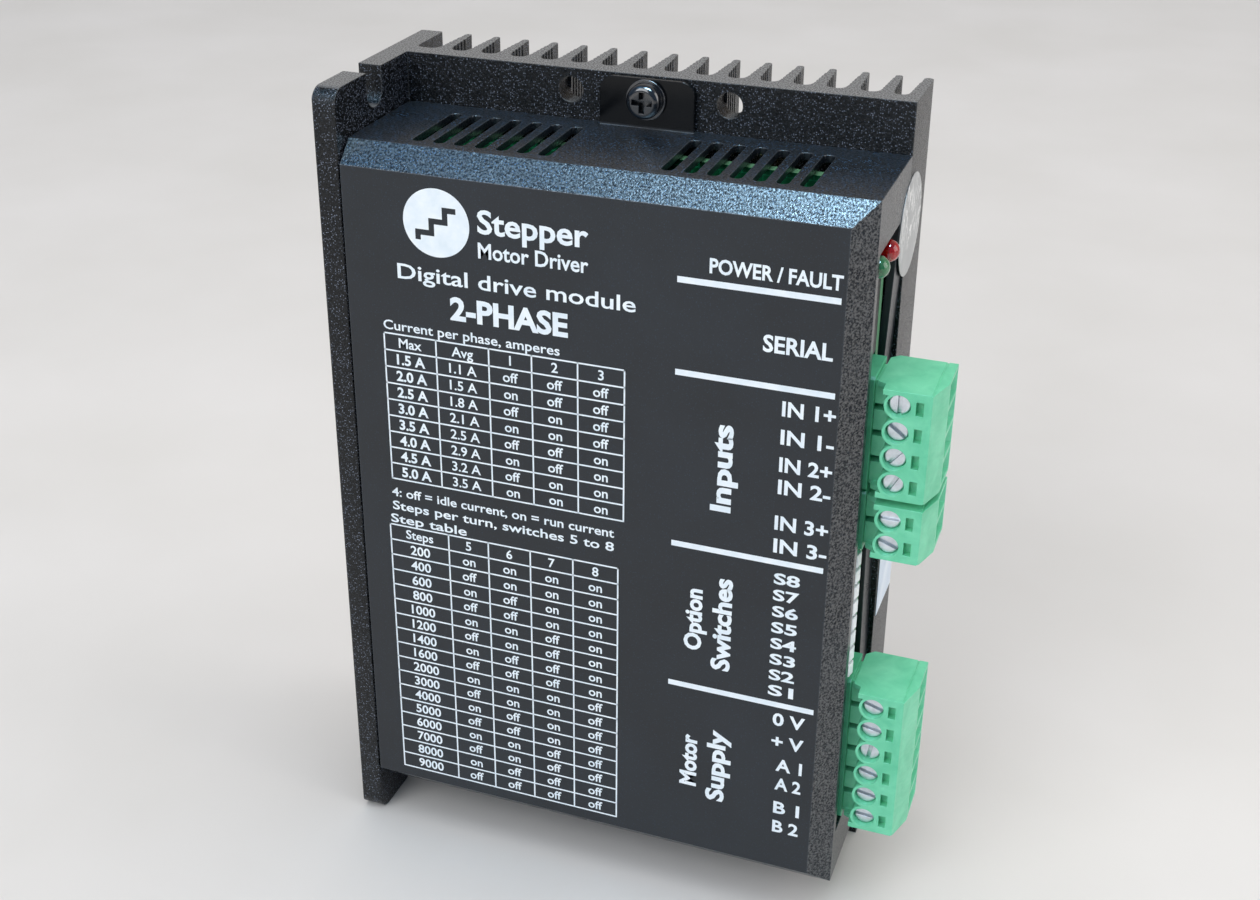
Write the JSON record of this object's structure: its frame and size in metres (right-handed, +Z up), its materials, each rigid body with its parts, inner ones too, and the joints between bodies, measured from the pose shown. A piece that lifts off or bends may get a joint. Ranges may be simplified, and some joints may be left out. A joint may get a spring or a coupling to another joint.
{
  "type": "stepper driver module",
  "caption": "Boxy stepper motor driver: finned black heat sink with folded cover, pluggable green screw terminals, option switches and status lamps on one side.",
  "frame": {"origin": "bottom end face of the heat sink's back plate, in the middle of the plate's thickness, on the cover's centre line", "axes": "+Z up along the extrusion, -Y out of the printed front face, +X out of the connector side"},
  "size_m": [0.0849, 0.0335, 0.118],
  "materials": {
    "anodised": "sand-blasted black anodised, satin",
    "cover_paint": "fine-grained matt black powder coat",
    "black_screw": "black zinc, satin",
    "pcb_green": "solder mask, satin",
    "standoff_brass": "turned",
    "zinc_steel": "bright zinc",
    "package_black": "moulded, matt",
    "pad_grey": "matt silicone",
    "sleeve_black": "gloss sleeve",
    "port_black": "moulded, satin",
    "led_red": "tinted clear",
    "led_green": "tinted clear",
    "tinned_pin": "tin plated",
    "seal_foil": "brushed foil, satin",
    "label_paper": "printed film, satin",
    "header_green": "moulded, satin",
    "plug_green": "moulded, satin",
    "lever_white": "moulded, satin"
  },
  "bodies": {
    "case": {"heatsink": "anodised", "cover": "cover_paint", "cover_screws": "black_screw", "cover_washers": "black_screw", "pcb": "pcb_green", "pcb_standoffs": "standoff_brass", "pcb_screws": "zinc_steel", "power_transistors": "package_black", "thermal_pad": "pad_grey", "capacitors": "sleeve_black", "board_chips": "package_black", "serial_port": "port_black", "led_holder": "port_black", "alarm_led": "led_red", "power_led": "led_green", "dip_switch_body": "port_black", "signal_header": "header_green", "enable_header": "header_green", "power_header": "header_green", "header_pins": "tinned_pin", "seal_sticker": "seal_foil", "side_label": "label_paper"},
    "signal_plug_body": {"signal_plug": "plug_green", "signal_contacts": "tinned_pin"},
    "signal_screw_1_body": {"signal_screw_1": "zinc_steel"},
    "signal_cage_1_body": {"signal_cage_1": "zinc_steel"},
    "signal_screw_2_body": {"signal_screw_2": "zinc_steel"},
    "signal_cage_2_body": {"signal_cage_2": "zinc_steel"},
    "signal_screw_3_body": {"signal_screw_3": "zinc_steel"},
    "signal_cage_3_body": {"signal_cage_3": "zinc_steel"},
    "signal_screw_4_body": {"signal_screw_4": "zinc_steel"},
    "signal_cage_4_body": {"signal_cage_4": "zinc_steel"},
    "enable_plug_body": {"enable_plug": "plug_green", "enable_contacts": "tinned_pin"},
    "enable_screw_1_body": {"enable_screw_1": "zinc_steel"},
    "enable_cage_1_body": {"enable_cage_1": "zinc_steel"},
    "enable_screw_2_body": {"enable_screw_2": "zinc_steel"},
    "enable_cage_2_body": {"enable_cage_2": "zinc_steel"},
    "power_plug_body": {"power_plug": "plug_green", "power_contacts": "tinned_pin"},
    "power_screw_1_body": {"power_screw_1": "zinc_steel"},
    "power_cage_1_body": {"power_cage_1": "zinc_steel"},
    "power_screw_2_body": {"power_screw_2": "zinc_steel"},
    "power_cage_2_body": {"power_cage_2": "zinc_steel"},
    "power_screw_3_body": {"power_screw_3": "zinc_steel"},
    "power_cage_3_body": {"power_cage_3": "zinc_steel"},
    "power_screw_4_body": {"power_screw_4": "zinc_steel"},
    "power_cage_4_body": {"power_cage_4": "zinc_steel"},
    "power_screw_5_body": {"power_screw_5": "zinc_steel"},
    "power_cage_5_body": {"power_cage_5": "zinc_steel"},
    "power_screw_6_body": {"power_screw_6": "zinc_steel"},
    "power_cage_6_body": {"power_cage_6": "zinc_steel"},
    "dip_lever_1_body": {"dip_lever_1": "lever_white"},
    "dip_lever_2_body": {"dip_lever_2": "lever_white"},
    "dip_lever_3_body": {"dip_lever_3": "lever_white"},
    "dip_lever_4_body": {"dip_lever_4": "lever_white"},
    "dip_lever_5_body": {"dip_lever_5": "lever_white"},
    "dip_lever_6_body": {"dip_lever_6": "lever_white"},
    "dip_lever_7_body": {"dip_lever_7": "lever_white"},
    "dip_lever_8_body": {"dip_lever_8": "lever_white"}
  },
  "joints": [
    {"name": "signal_plug_slide", "type": "slide", "parent": "case", "child": "signal_plug_body", "axis": [1, 0, 0], "range_m": [0, 0.012]},
    {"name": "signal_screw_1_turn", "type": "hinge", "parent": "signal_plug_body", "child": "signal_screw_1_body", "pos_m": [0.0398, -0.0164, 0.08321], "axis": [0, -1, 0], "range_deg": [-2340, 0]},
    {"name": "signal_cage_1_lift", "type": "slide", "parent": "signal_plug_body", "child": "signal_cage_1_body", "axis": [0, -1, 0], "range_m": [0, 0.0026]},
    {"name": "signal_screw_2_turn", "type": "hinge", "parent": "signal_plug_body", "child": "signal_screw_2_body", "pos_m": [0.0398, -0.0164, 0.07941], "axis": [0, -1, 0], "range_deg": [-2340, 0]},
    {"name": "signal_cage_2_lift", "type": "slide", "parent": "signal_plug_body", "child": "signal_cage_2_body", "axis": [0, -1, 0], "range_m": [0, 0.0026]},
    {"name": "signal_screw_3_turn", "type": "hinge", "parent": "signal_plug_body", "child": "signal_screw_3_body", "pos_m": [0.0398, -0.0164, 0.07559], "axis": [0, -1, 0], "range_deg": [-2340, 0]},
    {"name": "signal_cage_3_lift", "type": "slide", "parent": "signal_plug_body", "child": "signal_cage_3_body", "axis": [0, -1, 0], "range_m": [0, 0.0026]},
    {"name": "signal_screw_4_turn", "type": "hinge", "parent": "signal_plug_body", "child": "signal_screw_4_body", "pos_m": [0.0398, -0.0164, 0.07179], "axis": [0, -1, 0], "range_deg": [-2340, 0]},
    {"name": "signal_cage_4_lift", "type": "slide", "parent": "signal_plug_body", "child": "signal_cage_4_body", "axis": [0, -1, 0], "range_m": [0, 0.0026]},
    {"name": "enable_plug_slide", "type": "slide", "parent": "case", "child": "enable_plug_body", "axis": [1, 0, 0], "range_m": [0, 0.012]},
    {"name": "enable_screw_1_turn", "type": "hinge", "parent": "enable_plug_body", "child": "enable_screw_1_body", "pos_m": [0.0398, -0.0164, 0.06641], "axis": [0, -1, 0], "range_deg": [-2340, 0]},
    {"name": "enable_cage_1_lift", "type": "slide", "parent": "enable_plug_body", "child": "enable_cage_1_body", "axis": [0, -1, 0], "range_m": [0, 0.0026]},
    {"name": "enable_screw_2_turn", "type": "hinge", "parent": "enable_plug_body", "child": "enable_screw_2_body", "pos_m": [0.0398, -0.0164, 0.06259], "axis": [0, -1, 0], "range_deg": [-2340, 0]},
    {"name": "enable_cage_2_lift", "type": "slide", "parent": "enable_plug_body", "child": "enable_cage_2_body", "axis": [0, -1, 0], "range_m": [0, 0.0026]},
    {"name": "power_plug_slide", "type": "slide", "parent": "case", "child": "power_plug_body", "axis": [1, 0, 0], "range_m": [0, 0.012]},
    {"name": "power_screw_1_turn", "type": "hinge", "parent": "power_plug_body", "child": "power_screw_1_body", "pos_m": [0.0398, -0.0164, 0.03623], "axis": [0, -1, 0], "range_deg": [-2340, 0]},
    {"name": "power_cage_1_lift", "type": "slide", "parent": "power_plug_body", "child": "power_cage_1_body", "axis": [0, -1, 0], "range_m": [0, 0.0026]},
    {"name": "power_screw_2_turn", "type": "hinge", "parent": "power_plug_body", "child": "power_screw_2_body", "pos_m": [0.0398, -0.0164, 0.03241], "axis": [0, -1, 0], "range_deg": [-2340, 0]},
    {"name": "power_cage_2_lift", "type": "slide", "parent": "power_plug_body", "child": "power_cage_2_body", "axis": [0, -1, 0], "range_m": [0, 0.0026]},
    {"name": "power_screw_3_turn", "type": "hinge", "parent": "power_plug_body", "child": "power_screw_3_body", "pos_m": [0.0398, -0.0164, 0.0286], "axis": [0, -1, 0], "range_deg": [-2340, 0]},
    {"name": "power_cage_3_lift", "type": "slide", "parent": "power_plug_body", "child": "power_cage_3_body", "axis": [0, -1, 0], "range_m": [0, 0.0026]},
    {"name": "power_screw_4_turn", "type": "hinge", "parent": "power_plug_body", "child": "power_screw_4_body", "pos_m": [0.0398, -0.0164, 0.0248], "axis": [0, -1, 0], "range_deg": [-2340, 0]},
    {"name": "power_cage_4_lift", "type": "slide", "parent": "power_plug_body", "child": "power_cage_4_body", "axis": [0, -1, 0], "range_m": [0, 0.0026]},
    {"name": "power_screw_5_turn", "type": "hinge", "parent": "power_plug_body", "child": "power_screw_5_body", "pos_m": [0.0398, -0.0164, 0.02099], "axis": [0, -1, 0], "range_deg": [-2340, 0]},
    {"name": "power_cage_5_lift", "type": "slide", "parent": "power_plug_body", "child": "power_cage_5_body", "axis": [0, -1, 0], "range_m": [0, 0.0026]},
    {"name": "power_screw_6_turn", "type": "hinge", "parent": "power_plug_body", "child": "power_screw_6_body", "pos_m": [0.0398, -0.0164, 0.01717], "axis": [0, -1, 0], "range_deg": [-2340, 0]},
    {"name": "power_cage_6_lift", "type": "slide", "parent": "power_plug_body", "child": "power_cage_6_body", "axis": [0, -1, 0], "range_m": [0, 0.0026]},
    {"name": "dip_lever_1_tilt", "type": "hinge", "parent": "case", "child": "dip_lever_1_body", "pos_m": [0.03, -0.01475, 0.04061], "axis": [0, 0, 1], "range_deg": [0, 24]},
    {"name": "dip_lever_2_tilt", "type": "hinge", "parent": "case", "child": "dip_lever_2_body", "pos_m": [0.03, -0.01475, 0.04315], "axis": [0, 0, 1], "range_deg": [0, 24]},
    {"name": "dip_lever_3_tilt", "type": "hinge", "parent": "case", "child": "dip_lever_3_body", "pos_m": [0.03, -0.01475, 0.04569], "axis": [0, 0, 1], "range_deg": [0, 24]},
    {"name": "dip_lever_4_tilt", "type": "hinge", "parent": "case", "child": "dip_lever_4_body", "pos_m": [0.03, -0.01475, 0.04823], "axis": [0, 0, 1], "range_deg": [0, 24]},
    {"name": "dip_lever_5_tilt", "type": "hinge", "parent": "case", "child": "dip_lever_5_body", "pos_m": [0.03, -0.01475, 0.05077], "axis": [0, 0, 1], "range_deg": [0, 24]},
    {"name": "dip_lever_6_tilt", "type": "hinge", "parent": "case", "child": "dip_lever_6_body", "pos_m": [0.03, -0.01475, 0.05331], "axis": [0, 0, 1], "range_deg": [0, 24]},
    {"name": "dip_lever_7_tilt", "type": "hinge", "parent": "case", "child": "dip_lever_7_body", "pos_m": [0.03, -0.01475, 0.05585], "axis": [0, 0, 1], "range_deg": [0, 24]},
    {"name": "dip_lever_8_tilt", "type": "hinge", "parent": "case", "child": "dip_lever_8_body", "pos_m": [0.03, -0.01475, 0.05839], "axis": [0, 0, 1], "range_deg": [0, 24]}
  ],
  "couplings": [
    {"joint": "signal_screw_1_turn", "follows": "signal_cage_1_lift", "rad_per_m": -15708},
    {"joint": "signal_screw_2_turn", "follows": "signal_cage_2_lift", "rad_per_m": -15708},
    {"joint": "signal_screw_3_turn", "follows": "signal_cage_3_lift", "rad_per_m": -15708},
    {"joint": "signal_screw_4_turn", "follows": "signal_cage_4_lift", "rad_per_m": -15708},
    {"joint": "enable_screw_1_turn", "follows": "enable_cage_1_lift", "rad_per_m": -15708},
    {"joint": "enable_screw_2_turn", "follows": "enable_cage_2_lift", "rad_per_m": -15708},
    {"joint": "power_screw_1_turn", "follows": "power_cage_1_lift", "rad_per_m": -15708},
    {"joint": "power_screw_2_turn", "follows": "power_cage_2_lift", "rad_per_m": -15708},
    {"joint": "power_screw_3_turn", "follows": "power_cage_3_lift", "rad_per_m": -15708},
    {"joint": "power_screw_4_turn", "follows": "power_cage_4_lift", "rad_per_m": -15708},
    {"joint": "power_screw_5_turn", "follows": "power_cage_5_lift", "rad_per_m": -15708},
    {"joint": "power_screw_6_turn", "follows": "power_cage_6_lift", "rad_per_m": -15708}
  ]
}
